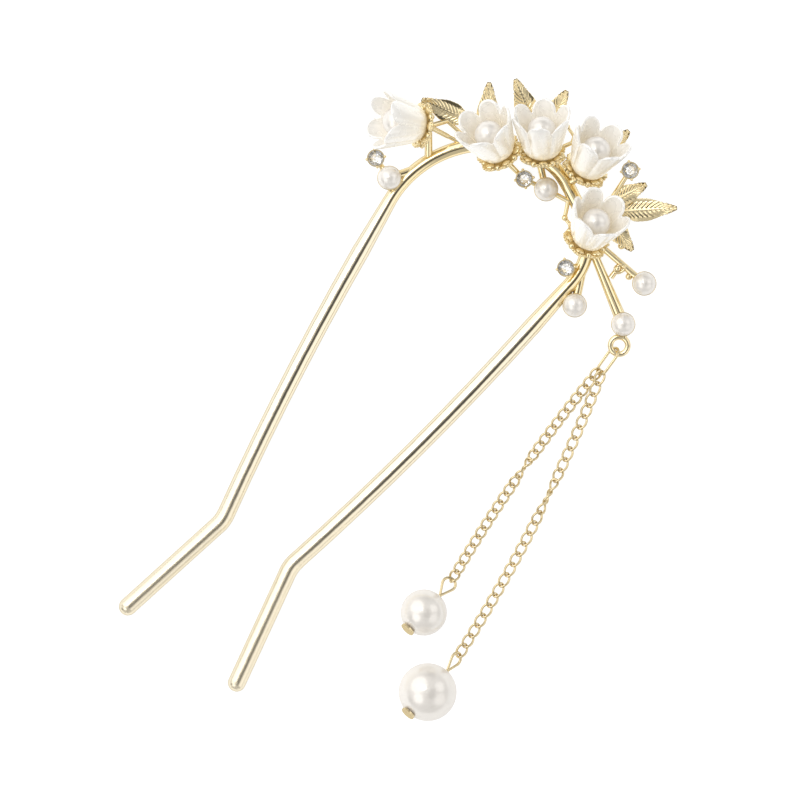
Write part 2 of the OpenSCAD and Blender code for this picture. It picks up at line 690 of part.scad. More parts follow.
// A strand of twisted links, each turned so that its ends stand square to its neighbours
module strand(p, q, bow, pitch, rolls, first_roll, last_roll) {
    n = links_in(p, q, pitch);
    half_w = (link_w - link_wire) / 2;
    color("gold") in_place()
        for (i = [0:n - 1]) {
            a = joint(p, q, bow, n, i);
            b = joint(p, q, bow, n, i + 1);
            roll_a = i == 0 ? first_roll : -45 + strand_roll(rolls, i);
            roll_b = i == n - 1 ? last_roll + strand_roll(rolls, n) : 45 + strand_roll(rolls, i + 1);
            polyhedron(points = link_points(a, b, half_w, roll_a, roll_b),
                       faces = ring_faces(LINK_STEPS, WIRE_STEPS));
        }
}

module chain_short() {
    strand(strand_start(SHORT_HANG, -92), strand_end(short_drop, short_drop_d, short_pin_bearing),
           short_bow, short_pitch, short_rolls, joiner_roll - 90, 90);
}

module chain_long() {
    strand(strand_start(LONG_HANG, -77), strand_end(long_drop, long_drop_d, long_pin_bearing),
           long_bow, long_pitch, long_rolls, joiner_roll - 90, 45);
}

// A headed pin through a drop pearl, ending in a drop-shaped loop
module eye_pin(drop, d, bearing, roll) {
    spread = acos(loop_r / loop_reach);
    tangent = sqrt(loop_reach * loop_reach - loop_r * loop_r);
    tail = drop - (d / 2 + gap + head_t) * aim(bearing, -pin_dip);
    top = neck(drop, d, bearing);
    color("gold") in_place() {
        rod(tail, top, eye_r, eye_r);
        rod(tail, tail + head_t * aim(bearing, -pin_dip), head_d / 2, head_d / 2);
        translate(top) sphere(r = eye_r * 1.25, $fn = 32);
        translate(loop_mid(drop, d, bearing))
            rotate([0, pin_dip, bearing + loop_bend])
            rotate([roll, 0, 0]) {
                rotate([0, 0, spread - 180])
                    rotate_extrude(angle = 360 - 2 * spread, $fn = 64)
                    translate([loop_r, 0])
                    circle(r = eye_r, $fn = 24);
                for (k = [-1, 1])
                    rotate([0, 0, 180 - k * spread])
                    translate([loop_r, 0, 0])
                    rotate([k * -90, 0, 0])
                    translate([0, 0, -LAP / 2])
                    cylinder(h = tangent + LAP / 2, r = eye_r - SEAM, $fn = 24);
            }
    }
}

module eye_pin_short() {
    eye_pin(short_drop, short_drop_d, short_pin_bearing, 0);
}

module eye_pin_long() {
    eye_pin(long_drop, long_drop_d, long_pin_bearing, long_loop_roll);
}

// A round drop pearl drilled right through for its pin
module drop_pearl(drop, d, bearing) {
    color("seashell") in_place()
        translate(drop) rotate([0, 90 + pin_dip, bearing]) difference() {
            sphere(r = d / 2, $fn = 96);
            translate([0, 0, -d]) cylinder(h = 2 * d, r = eye_r + gap, $fn = 32);
        }
}

pin_frame();
flower(0);  // flower_1
flower(1);  // flower_2
flower(2);  // flower_3
flower(3);  // flower_4
flower(4);  // flower_5
flower_pearl(0);  // flower_pearl_1
flower_pearl(1);  // flower_pearl_2
flower_pearl(2);  // flower_pearl_3
flower_pearl(3);  // flower_pearl_4
flower_pearl(4);  // flower_pearl_5
branch_pearl(0);  // branch_pearl_1
branch_pearl(1);  // branch_pearl_2
branch_pearl(2);  // branch_pearl_3
branch_pearl(3);  // branch_pearl_4
branch_pearl(4);  // branch_pearl_5
crystal(0);  // crystal_1
crystal(1);  // crystal_2
crystal(2);  // crystal_3
crystal(3);  // crystal_4
joining_link();
chain_short();
chain_long();
eye_pin_short();
eye_pin_long();
drop_pearl(short_drop, short_drop_d, short_pin_bearing);  // drop_pearl_short
drop_pearl(long_drop, long_drop_d, long_pin_bearing);  // drop_pearl_long
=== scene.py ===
# %% [markdown]
# A hair fork with a spray of bell flowers and a tassel, laid on a white table and seen from
# above. The measured solids come in first and stay where they are. Everything after this cell
# either gives them a finish or stands in front of them with more detail, so the first thing kept
# is their box.

import math

import bpy
import numpy as np
from mathutils import Matrix, Vector


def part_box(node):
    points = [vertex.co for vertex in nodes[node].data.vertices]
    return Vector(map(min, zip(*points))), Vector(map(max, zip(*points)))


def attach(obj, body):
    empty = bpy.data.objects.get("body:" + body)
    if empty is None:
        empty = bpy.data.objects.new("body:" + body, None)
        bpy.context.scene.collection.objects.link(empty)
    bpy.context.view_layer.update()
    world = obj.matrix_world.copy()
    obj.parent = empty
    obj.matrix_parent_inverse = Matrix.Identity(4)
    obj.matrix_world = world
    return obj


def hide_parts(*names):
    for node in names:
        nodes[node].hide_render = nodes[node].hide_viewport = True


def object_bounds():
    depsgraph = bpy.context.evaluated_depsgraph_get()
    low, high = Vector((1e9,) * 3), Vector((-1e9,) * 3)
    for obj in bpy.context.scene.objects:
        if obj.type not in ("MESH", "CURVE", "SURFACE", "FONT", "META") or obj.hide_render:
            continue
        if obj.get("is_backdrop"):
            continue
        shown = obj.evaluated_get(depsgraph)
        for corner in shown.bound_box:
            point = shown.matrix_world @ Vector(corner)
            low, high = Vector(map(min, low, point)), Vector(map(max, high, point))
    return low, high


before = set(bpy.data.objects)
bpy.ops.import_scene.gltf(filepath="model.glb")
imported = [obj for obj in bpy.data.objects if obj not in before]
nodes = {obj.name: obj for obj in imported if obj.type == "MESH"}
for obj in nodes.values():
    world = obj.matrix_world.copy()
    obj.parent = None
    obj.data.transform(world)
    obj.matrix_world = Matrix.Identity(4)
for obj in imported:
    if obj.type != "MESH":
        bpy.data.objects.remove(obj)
cad_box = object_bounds()
MM = 0.001
print("solids:", len(nodes), "size in mm:", [round(v / MM, 1) for v in cad_box[1] - cad_box[0]])

# %% [markdown]
# Node trees are easier to read as sums. One small class wraps a socket, so that a * b + 1 adds
# the Math nodes by itself, and one method makes every other node from its type, settings and
# sockets. The same two helpers serve the finishes and the Geometry Nodes trees.


# %% Sums on sockets
class Sum:
    def __init__(self, graph, socket):
        self.graph, self.socket = graph, socket

    def math(self, operation, *others, swap=False):
        values = [self, *others]
        if swap:
            values.reverse()
        node = self.graph.add("ShaderNodeMath", {"operation": operation}, dict(enumerate(values)))
        return Sum(self.graph, node.outputs[0])

    def __add__(self, other):
        return self.math("ADD", other)

    def __radd__(self, other):
        return self.math("ADD", other, swap=True)

    def __sub__(self, other):
        return self.math("SUBTRACT", other)

    def __rsub__(self, other):
        return self.math("SUBTRACT", other, swap=True)

    def __mul__(self, other):
        return self.math("MULTIPLY", other)

    def __rmul__(self, other):
        return self.math("MULTIPLY", other, swap=True)

    def __truediv__(self, other):
        return self.math("DIVIDE", other)

    def __rtruediv__(self, other):
        return self.math("DIVIDE", other, swap=True)

    def __pow__(self, other):
        return self.math("POWER", other)

    def __neg__(self):
        return self.math("MULTIPLY", -1.0)


class Graph:
    def __init__(self, tree):
        self.tree = tree

    def add(self, kind, settings=None, sockets=None):
        node = self.tree.nodes.new(kind)
        for name, value in (settings or {}).items():
            setattr(node, name, value)
        for name, value in (sockets or {}).items():
            value = value.socket if isinstance(value, Sum) else value
            if isinstance(value, bpy.types.NodeSocket):
                self.tree.links.new(value, node.inputs[name])
            else:
                node.inputs[name].default_value = value
        return node

    def sum(self, node, output=0):
        return Sum(self, node.outputs[output])


print("helpers ready")

# %% [markdown]
# The finishes. A new material keeps Blender's Principled shader, and constants go straight onto
# its sockets. Only what changes over a surface comes through nodes.


# %% Start a finish
def finish(name, **constants):
    material = bpy.data.materials.new(name)
    material.use_nodes = True
    graph = Graph(material.node_tree)
    shader = next(n for n in material.node_tree.nodes if n.type == "BSDF_PRINCIPLED")
    for socket, value in constants.items():
        shader.inputs[socket.replace("_", " ")].default_value = value
    return material, graph, shader


def feed(graph, shader, socket, value):
    value = value.socket if isinstance(value, Sum) else value
    graph.tree.links.new(value, shader.inputs[socket])


def blend_colours(graph, factor, first, second):
    node = graph.add("ShaderNodeMix", {"data_type": "RGBA"}, {0: factor})
    for index, colour in ((6, first), (7, second)):
        node.inputs[index].default_value = (*colour, 1)
    return node.outputs[2]


def object_place(graph):
    place = graph.add("ShaderNodeTexCoord").outputs["Object"]
    parts = graph.add("ShaderNodeSeparateXYZ", None, {0: place})
    return place, graph.sum(parts, 1)


def noise(graph, place, scale, detail):
    sockets = {"Vector": place, "Scale": scale, "Detail": detail}
    return graph.sum(graph.add("ShaderNodeTexNoise", None, sockets))


def limited(value):
    return value.math("MAXIMUM", 0.0).math("MINIMUM", 1.0)


print("finish helpers ready")

# %% [markdown]
# Every part of such a pin gets a clear lacquer over its colour. The lacquer glints where a
# surface faces the eye. Where it turns away, a thin darker line is painted in as shade: the
# lacquer is taken back there and a dark edge tint deepens it, which also keeps the parts apart
# from the white table.


# %% Lacquer, painted rim shade and ripples
def lacquer(shader, roughness, ior):
    shader.inputs["Coat Weight"].default_value = 1.0
    shader.inputs["Coat Roughness"].default_value = roughness
    shader.inputs["Coat IOR"].default_value = ior


# the darker rim is painted shade: a dark edge tint and less lacquer where a surface turns away
def rim_painted_shade(graph, shader, tint, taken):
    shader.inputs["Specular Tint"].default_value = (*tint, 1)
    rim = graph.sum(graph.add("ShaderNodeLayerWeight", None, {"Blend": 0.5}), 1)
    feed(graph, shader, "Coat Weight", 1.0 - taken * rim)


def ripple(graph, shader, place, scale, depth):
    height = noise(graph, place, scale, 2.0)
    sockets = {"Height": height, "Distance": depth, "Strength": 1.0}
    feed(graph, shader, "Normal", graph.add("ShaderNodeBump", None, sockets).outputs[0])


print("lacquer ready")

# %% [markdown]
# The real metal is a thin pale gold plating over a casting. The legs are almost white gold, and
# the casting of the spray is a deeper yellow where the plating pools. The tips are rubbed dull by
# use. Painting all this by where it lies along the pin is cheaper than several materials and
# keeps the casting one piece. A slow noise breaks the perfect mirror.

# %% Pale gold for the fork and spray
PALE_GOLD = (0.88, 0.785, 0.585)
WARM_GOLD = (0.90, 0.745, 0.43)
# edge tint and lacquer taken back at the rims of the gold, painted shade
GOLD_RIM_SHADE_TINT, GOLD_RIM_SHADE_TAKEN = (0.5, 0.45, 0.36), 0.95
SPRAY_STARTS, SPRAY_BLEND = 20 * MM, 10 * MM
RUBBED_FROM, RUBBED_OVER = -8 * MM, 32 * MM
GOLD_CLOUDS, GOLD_RIPPLES, GOLD_RIPPLE = 260.0, 420.0, 0.05 * MM
GOLD_ROUGH, GOLD_ROUGH_CLOUDS, GOLD_ROUGH_RUBBED = 0.09, 0.09, 0.17

gold, g, shader = finish("pale_gold_plating", Metallic=1.0)
lacquer(shader, 0.04, 1.75)
rim_painted_shade(g, shader, GOLD_RIM_SHADE_TINT, GOLD_RIM_SHADE_TAKEN)
place, y = object_place(g)
along = limited((y - SPRAY_STARTS) / SPRAY_BLEND)
rubbed = limited((RUBBED_FROM - y) / RUBBED_OVER)
cloud = noise(g, place, GOLD_CLOUDS, 3.0)
feed(g, shader, "Base Color", blend_colours(g, along, PALE_GOLD, WARM_GOLD))
feed(g, shader, "Roughness", GOLD_ROUGH + GOLD_ROUGH_CLOUDS * cloud + GOLD_ROUGH_RUBBED * rubbed)
ripple(g, shader, place, GOLD_RIPPLES, GOLD_RIPPLE)
print(gold.name)

# %% [markdown]
# The chain and its fittings are drawn wire with a richer plating than the casting. One more blend
# in the first gold could do it, but no piece needs both, so a second material is easier to tune.
# The same kind of noise gives the worn spots.

# %% Chain gold
CHAIN_GOLD = (0.80, 0.64, 0.34)
CHAIN_GOLD_WORN = (0.70, 0.57, 0.33)
CHAIN_CLOUDS = 700.0
CHAIN_ROUGH, CHAIN_ROUGH_CLOUDS = 0.12, 0.14

chain_gold, g, shader = finish("chain_gold_plating", Metallic=1.0)
lacquer(shader, 0.04, 1.9)
rim_painted_shade(g, shader, GOLD_RIM_SHADE_TINT, GOLD_RIM_SHADE_TAKEN)
place, _ = object_place(g)
cloud = noise(g, place, CHAIN_CLOUDS, 2.0)
feed(g, shader, "Base Color", blend_colours(g, cloud, CHAIN_GOLD, CHAIN_GOLD_WORN))
feed(g, shader, "Roughness", CHAIN_ROUGH + CHAIN_ROUGH_CLOUDS * cloud)
print(chain_gold.name)

# %% [markdown]
# A pearl is a bead under many thin coats of lustre. Light goes some way into the cream body,
# comes back from the flakes in the coats, and glints off the outermost one. A little Metallic
# stands for the flakes, and a clear coat of high index gives the glint.

# %% Pearl lustre
PEARL_CREAM = (0.89, 0.845, 0.78)
PEARL_CLOUD = (0.87, 0.835, 0.785)
# edge tint and lacquer taken back at the rims of the pearls, painted shade
PEARL_RIM_SHADE_TINT, PEARL_RIM_SHADE_TAKEN = (0.6, 0.54, 0.47), 0.9
PEARL_CLOUDS = 320.0
PEARL_ROUGH, PEARL_ROUGH_CLOUDS = 0.26, 0.1

pearl, g, shader = finish("pearl_lustre", Metallic=0.3, Specular_IOR_Level=0.2)
lacquer(shader, 0.05, 1.8)
rim_painted_shade(g, shader, PEARL_RIM_SHADE_TINT, PEARL_RIM_SHADE_TAKEN)
place, _ = object_place(g)
cloud = noise(g, place, PEARL_CLOUDS, 3.0)
feed(g, shader, "Base Color", blend_colours(g, cloud, PEARL_CREAM, PEARL_CLOUD))
feed(g, shader, "Roughness", PEARL_ROUGH + PEARL_ROUGH_CLOUDS * cloud)
print(pearl.name)

# %% [markdown]
# The bells are moulded shell with the same lustre, whiter and softer than the beads. The colour
# is creamier down at the foot and whiter at the rim of the petals, which a height share that each
# bell carries as an attribute tells the material. Light comes through the thin wall and bounces
# in
# the cup, so the hollows are never dark: a weak cream glow of painted light, strongest at the
# foot, stands for that light at no cost.

# %% Bell shell
BELL_FOOT = (0.87, 0.825, 0.73)
BELL_TIP = (0.89, 0.875, 0.845)
# painted light that brightens the hollows, strongest at the foot
PAINTED_LIGHT_FOOT = (0.95, 0.8, 0.52)
PAINTED_LIGHT_TIP = (0.36, 0.35, 0.32)
BELL_CLOUDS = 500.0
BELL_ROUGH, BELL_ROUGH_CLOUDS = 0.22, 0.1

bell_shell, g, shader = finish("bell_lustre", Metallic=0.22, Emission_Strength=0.22)
lacquer(shader, 0.1, 1.7)
rise = g.sum(g.add("ShaderNodeAttribute", {"attribute_name": "rise"}), "Fac")
place, _ = object_place(g)
cloud = noise(g, place, BELL_CLOUDS, 2.0)
feed(g, shader, "Base Color", blend_colours(g, rise, BELL_FOOT, BELL_TIP))
feed(g, shader, "Emission Color", blend_colours(g, rise, PAINTED_LIGHT_FOOT, PAINTED_LIGHT_TIP))
feed(g, shader, "Roughness", BELL_ROUGH + BELL_ROUGH_CLOUDS * cloud)
print(bell_shell.name)

# %% [markdown]
# A cut crystal in jewellery like this is clear, with silver foil behind it, so it answers with
# hard white and dark flashes. Two plain finishes give that together: a clear stone and a mirror
# foil, which gives off a little painted light of its own for the sparkle that few bounces
# would lose.

# %% Crystal and foil
crystal, g, shader = finish(
    "cut_crystal", Base_Color=(1, 1, 1, 1), Roughness=0.0, IOR=1.6, Transmission_Weight=1.0)
# the foil's own glow is painted sparkle, not a lamp
foil, g, shader = finish(
    "silver_foil", Base_Color=(0.97, 0.965, 0.95, 1), Metallic=1.0, Roughness=0.02,
    Emission_Color=(1, 1, 1, 1), Emission_Strength=0.26)
print(crystal.name, foil.name)

# %% [markdown]
# The solids that already have the full shape only need their finish: the casting, the pearls and
# the wire fittings. Each could be given by hand, but a table of how their names start keeps the
# rule in one place. The longer starts come first, so that a pearl in a flower is a pearl.

# %% Give the solids their finish
FINISHES = {
    "pin_frame": gold,
    "flower_pearl": pearl,
    "branch_pearl": pearl,
    "drop_pearl": pearl,
    "crystal": crystal,
    "joining_link": chain_gold,
    "eye_pin": chain_gold,
    "chain": chain_gold,
    "flower": bell_shell,
}


def finish_for(name):
    return next(m for start, m in FINISHES.items() if name.startswith(start))


for name, node in nodes.items():
    node.data.materials.clear()
    node.data.materials.append(finish_for(name))
print("finished", len(nodes), "solids")

# %% [markdown]
# Every repeated or ruled shape below is a Geometry Nodes tree, since a rule with named inputs can
# be retuned later, where a modelled mesh would be redone. This helper makes the tree with its
# inputs, runs it once on a carrier object, and hands back a plain mesh without modifiers.


# %% Run a tree on a carrier
def new_tree(name, inputs):
    tree = bpy.data.node_groups.new(name, "GeometryNodeTree")
    tree.interface.new_socket("Geometry", in_out="INPUT", socket_type="NodeSocketGeometry")
    for label, (kind, _) in inputs.items():
        tree.interface.new_socket(label, in_out="INPUT", socket_type=kind)
    tree.interface.new_socket("Geometry", in_out="OUTPUT", socket_type="NodeSocketGeometry")
    graph = Graph(tree)
    graph.start = graph.add("NodeGroupInput")
    graph.end = graph.add("NodeGroupOutput")
    return graph


def close_tree(graph, geometry, material):
    real = graph.add("GeometryNodeRealizeInstances", None, {0: geometry})
    painted = graph.add("GeometryNodeSetMaterial", None, {
        0: real.outputs[0], "Material": material})
    graph.tree.links.new(painted.outputs[0], graph.end.inputs[0])


def run_tree(name, graph, carrier_mesh, inputs, after=()):
    carrier = bpy.data.objects.new(name + "_carrier", carrier_mesh)
    bpy.context.scene.collection.objects.link(carrier)
    modifier = carrier.modifiers.new("tree", "NODES")
    modifier.node_group = graph.tree
    for item in graph.tree.interface.items_tree:
        if item.in_out == "INPUT" and item.name in inputs:
            modifier[item.identifier] = inputs[item.name][1]
    for kind, settings in after:
        extra = carrier.modifiers.new(kind.lower(), kind)
        for setting, value in settings.items():
            setattr(extra, setting, value)
    ready = carrier.evaluated_get(bpy.context.evaluated_depsgraph_get())
    mesh = bpy.data.meshes.new_from_object(ready)
    mesh.name = name
    carrier.modifiers.clear()
    bpy.data.objects.remove(carrier)
    return mesh


def piece(name, mesh, slot, *stands_for):
    obj = bpy.data.objects.new(name, mesh)
    bpy.context.scene.collection.objects.link(obj)
    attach(obj, "root")
    if stands_for:
        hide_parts(*stands_for)
    print(name, len(mesh.vertices), "points")
    return obj


# %% [markdown]
# A bell flower is one moulded cup whose rim rises into six petals. On the real pin it is pressed
# in a mould, so its shape follows a rule: how wide the cup is at each height, how high the rim
# stands at each angle, and a crease that runs down between the petals. A grid bent round into
# that cup by such a rule keeps the petals even and can be retuned by its inputs, where a sculpted
# one couldn't.

# %% The rule of a bell
BELL_INPUTS = {
    "Radius": ("NodeSocketFloat", 5.4 * MM),
    "Height": ("NodeSocketFloat", 8.7 * MM),
    "Petals": ("NodeSocketFloat", 6.0),
    "Notch": ("NodeSocketFloat", 0.71),
    "Roundness": ("NodeSocketFloat", 1.95),
    "Crease": ("NodeSocketFloat", 0.12),
    "Around": ("NodeSocketInt", 145),
    "Rows": ("NodeSocketInt", 22),
}


def drawn_curve(graph, value, drawn):
    node = graph.add("ShaderNodeFloatCurve", None, {"Value": value})
    points = node.mapping.curves[0].points
    while len(points) < len(drawn):
        points.new(0.5, 0.5)
    for point, place in zip(points, drawn):
        point.location = place
        point.handle_type = "AUTO_CLAMPED"
    node.mapping.update()
    return graph.sum(node)


BELL_OUTLINE = [(0, 0.10), (0.035, 0.36), (0.11, 0.53), (0.24, 0.64), (0.42, 0.74), (0.6, 0.83),
                (0.78, 0.912), (0.92, 0.96), (1, 0.968)]
PETALS_START = 0.42
CREASE_SHARPNESS = 3.0
LIP_STARTS, LIP_FLARE = 0.8, 0.02
SEAM_WITHIN = 0.01 * MM

bell_tree = new_tree("bell_flower", BELL_INPUTS)
g = bell_tree
wide, tall, petals, notch, roundness, sink = (
    g.sum(g.start, name) for name in list(BELL_INPUTS)[:6])
grid = g.add("GeometryNodeMeshGrid", None, {
    "Size X": 1.0, "Size Y": 1.0,
    "Vertices X": g.start.outputs["Around"], "Vertices Y": g.start.outputs["Rows"]})
at = g.add("ShaderNodeSeparateXYZ", None, {0: g.add("GeometryNodeInputPosition").outputs[0]})
turn = g.sum(at, 0) + 0.5
up = g.sum(at, 1) + 0.5
from_middle = ((turn * petals).math("FRACT") * 2.0 - 1.0).math("ABSOLUTE")
rim_height = notch + (1.0 - notch) * limited(1.0 - from_middle ** roundness) ** (1.0 / roundness)
above = (up - PETALS_START).math("MAXIMUM", 0.0)
height = up + above * ((rim_height - PETALS_START) / (1.0 - PETALS_START) - 1.0)
outline = drawn_curve(g, height, BELL_OUTLINE)
crease = 1.0 - sink * from_middle ** CREASE_SHARPNESS * limited(height / PETALS_START)
lip = ((height - LIP_STARTS) / (1.0 - LIP_STARTS)).math("MAXIMUM", 0.0)
reach = wide * outline * crease * (1.0 + LIP_FLARE * lip * lip * (1.0 - from_middle))
angle = turn * (2 * math.pi)
bent = g.add("ShaderNodeCombineXYZ", None, {
    0: reach * angle.math("COSINE"), 1: reach * angle.math("SINE"), 2: height * tall})
marked = g.add("GeometryNodeStoreNamedAttribute", {"data_type": "FLOAT", "domain": "POINT"}, {
    0: grid.outputs[0], "Name": "rise", "Value": height})
shaped = g.add("GeometryNodeSetPosition", None, {
    0: marked.outputs[0], "Position": bent.outputs[0]})
joined = g.add("GeometryNodeMergeByDistance", None, {
    0: shaped.outputs[0], "Distance": SEAM_WITHIN})
smooth = g.add("GeometryNodeSetShadeSmooth", None, {0: joined.outputs[0], "Shade Smooth": True})
close_tree(g, smooth.outputs[0], bell_shell)
print("bell tree:", len(g.tree.nodes), "nodes")

# %% [markdown]
# Each bell points its own way. Placed by hand, the five would drift as soon as the solids change.
# The pearl inside each one is measured, so the bell is set from it: down the bell's axis by the
# height at which the pearl sits.

# %% Set the five bells
BELL_WALL = 0.5 * MM
PEARL_LIFT = 5.2 * MM
# bearing, lift and petal turn of each bell, in degrees
BELLS = [(208, 24, 37), (157.5, 41, 34), (128, 32, 7), (96, 36, 14), (96.5, 47, 20)]


def aim(bearing, lift):
    b, e = math.radians(bearing), math.radians(lift)
    return Vector((math.cos(b) * math.cos(e), math.sin(b) * math.cos(e), math.sin(e)))


def middle(name):
    low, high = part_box(name)
    return (low + high) / 2


def bell_foot(index):
    bearing, lift, _ = BELLS[index]
    return middle(f"flower_pearl_{index + 1}") - PEARL_LIFT * aim(bearing, lift)


def bell_place(index):
    bearing, lift, petal_turn = BELLS[index]
    axis, high = aim(bearing, lift), aim(bearing, lift + 90)
    side = high.cross(axis)
    foot = bell_foot(index)
    turned = Matrix.Rotation(math.radians(30 - petal_turn), 4, "Z")
    basis = Matrix((high, -side, axis)).transposed().to_4x4()
    return Matrix.Translation(foot) @ basis @ turned


THICKEN = [("SOLIDIFY", {"thickness": BELL_WALL, "offset": -1.0}),
           ("SUBSURF", {"levels": 1, "render_levels": 1})]
bell_mesh = run_tree("bell", bell_tree, bpy.data.meshes.new("empty"), BELL_INPUTS, THICKEN)
for index in range(len(BELLS)):
    mesh = bell_mesh.copy()
    mesh.transform(bell_place(index))
    piece(f"bell_{index + 1}", mesh, "bell_shell", f"flower_{index + 1}")

# %% [markdown]
# The chains are rows of closed oval links, each twisted a quarter turn so that the chain lies
# flat. A machine bends them one by one from wire. Here one tree makes all links of a strand: it
# puts a ring on every point, bends each ring into a twisted oval, and sweeps a wire along it.
# Where each link lies, how long it is and how its ends stand are measured from the solid links.


# %% Measure the solid links
CHAIN_WIRE = 0.38 * MM
LINK_WIDTH = 2.0 * MM
LINK_END = 0.75


def loose_parts(mesh):
    places = np.array([v.co for v in mesh.vertices])
    unique, index = np.unique(np.round(places, 8), axis=0, return_inverse=True)
    index = index.reshape(-1)
    root = np.arange(len(unique))

    def top(i):
        while root[i] != i:
            root[i] = root[root[i]]
            i = root[i]
        return i

    for polygon in mesh.polygons:
        corners = [top(index[v]) for v in polygon.vertices]
        for corner in corners[1:]:
            root[top(corner)] = top(corners[0])
    labels = np.array([top(i) for i in range(len(unique))])
    return [unique[labels == label] for label in np.unique(labels)]


def measure_link(points, wire):
    middle_point = points.mean(0)
    axis = np.linalg.svd(points - middle_point)[2][0]
    axis = axis if axis[1] < 0 else -axis
    side = np.cross((0, 0, 1), axis)
    side /= np.linalg.norm(side)
    high = np.cross(axis, side)
    far = (points - middle_point) @ axis
    half = (far.max() - far.min()) / 2
    middle_point = middle_point + axis * (far.max() + far.min()) / 2
    rolls = []
    for end in (-1, 1):
        tip = points[end * far > LINK_END * half]
        flat = np.stack([(tip - middle_point) @ side, (tip - middle_point) @ high], 1)
        spread = np.linalg.svd(flat - flat.mean(0))[2][0]
        rolls.append(math.atan2(spread[1], spread[0]))
    twist = (rolls[1] - rolls[0]) % math.pi
    return {"place": middle_point, "axis": axis, "side": side, "high": high,
            "half_length": half - wire / 2, "roll": rolls[0], "twist": twist}


links = {name: [measure_link(p, CHAIN_WIRE) for p in loose_parts(nodes[name].data)]
         for name in ("chain_short", "chain_long")}
print({name: len(found) for name, found in links.items()},
      "twists", sorted({round(math.degrees(found["twist"])) for found in links["chain_short"]}))

# %% [markdown]
# One link could be modelled once and set along a curve by an array. Here every link has its own
# length and twist, because it follows the solid one, so copies of one mesh wouldn't fit. The tree
# bends a fresh ring for each point instead, from measures that the point carries as attributes.

# %% The tree of a strand
CHAIN_INPUTS = {
    "Wire": ("NodeSocketFloat", 0.43 * MM),
    "Half width": ("NodeSocketFloat", (LINK_WIDTH - CHAIN_WIRE) / 2),
    "Steps": ("NodeSocketInt", 28),
    "Sides": ("NodeSocketInt", 10),
}


def attribute(graph, name, kind):
    node = graph.add("GeometryNodeInputNamedAttribute", {"data_type": kind}, {"Name": name})
    return node.outputs[0]


def scaled(graph, vector, factor):
    node = graph.add("ShaderNodeVectorMath", {"operation": "SCALE"}, {0: vector, "Scale": factor})
    return node.outputs[0]


def keep_place(graph, source, name):
    """Store each point's own place, so that copies can still be bent by it."""
    own = graph.add("GeometryNodeInputPosition").outputs[0]
    settings = {"data_type": "FLOAT_VECTOR", "domain": "POINT"}
    return graph.add("GeometryNodeStoreNamedAttribute", settings, {
        0: source.outputs[0], "Name": name, "Value": own})


def added(graph, first, *others):
    for other in others:
        node = graph.add("ShaderNodeVectorMath", {"operation": "ADD"}, {0: first, 1: other})
        first = node.outputs[0]
    return first


chain_tree = new_tree("twisted_chain", CHAIN_INPUTS)
g = chain_tree
ring = g.add("GeometryNodeCurvePrimitiveCircle", None, {"Resolution": g.start.outputs["Steps"],
                                                        "Radius": 1.0})
rings = g.add("GeometryNodeInstanceOnPoints", None, {"Points": g.start.outputs[0],
                                                     "Instance": ring.outputs[0]})
loose = g.add("GeometryNodeRealizeInstances", None, {0: rings.outputs[0]})
round_it = g.sum(g.add("GeometryNodeSplineParameter"), "Factor") * (2 * math.pi)
half_length = Sum(g, attribute(g, "half_length", "FLOAT"))
roll = Sum(g, attribute(g, "roll", "FLOAT")) + Sum(g, attribute(g, "twist", "FLOAT")) * (
    0.5 + 0.5 * round_it.math("COSINE"))
out = g.sum(g.start, "Half width") * round_it.math("SINE")
spot = added(
    g, attribute(g, "place", "FLOAT_VECTOR"),
    scaled(g, attribute(g, "axis", "FLOAT_VECTOR"), half_length * round_it.math("COSINE")),
    scaled(g, attribute(g, "side", "FLOAT_VECTOR"), out * roll.math("COSINE")),
    scaled(g, attribute(g, "high", "FLOAT_VECTOR"), out * roll.math("SINE")))
twisted = g.add("GeometryNodeSetPosition", None, {0: loose.outputs[0], "Position": spot})
wire = g.add("GeometryNodeCurvePrimitiveCircle", None, {
    "Resolution": g.start.outputs["Sides"], "Radius": g.sum(g.start, "Wire") * 0.5})
swept = g.add("GeometryNodeCurveToMesh", None, {"Curve": twisted.outputs[0],
                                                "Profile Curve": wire.outputs[0]})
smooth = g.add("GeometryNodeSetShadeSmooth", None, {0: swept.outputs[0], "Shade Smooth": True})
close_tree(g, smooth.outputs[0], chain_gold)
print("chain tree:", len(g.tree.nodes), "nodes")

# %% [markdown]
# The measured rows become meshes of bare points, with one attribute for each measure. The same
# tree then runs on both strands, and each result takes the place of its solid chain.


# %% Lay both strands
def point_mesh(name, rows):
    mesh = bpy.data.meshes.new(name)
    mesh.from_pydata([tuple(row["place"]) for row in rows], [], [])
    for key in rows[0]:
        kind = "FLOAT_VECTOR" if np.size(rows[0][key]) == 3 else "FLOAT"
        data = mesh.attributes.new(key, kind, "POINT").data
        field = "vector" if kind == "FLOAT_VECTOR" else "value"
        data.foreach_set(field, np.array([row[key] for row in rows], np.float32).reshape(-1))
    return mesh


for name, found in links.items():
    points = point_mesh(name + "_points", found)
    strand = run_tree(name + "_links", chain_tree, points, CHAIN_INPUTS)
    piece(name + "_links", strand, "chain_gold", name)

# %% [markdown]
# The leaves are stamped from thin sheet: a midrib, side veins that slant towards the tip, and
# edges that curl down. Stamping leaves the same relief on both faces. Each leaf is a grid that a
# rule bends over the solid leaf, a hair wider and thicker than it, so the rule gives eight leaves
# of different sizes the same number of crisp veins. A carved normal map would lose them from the
# side.

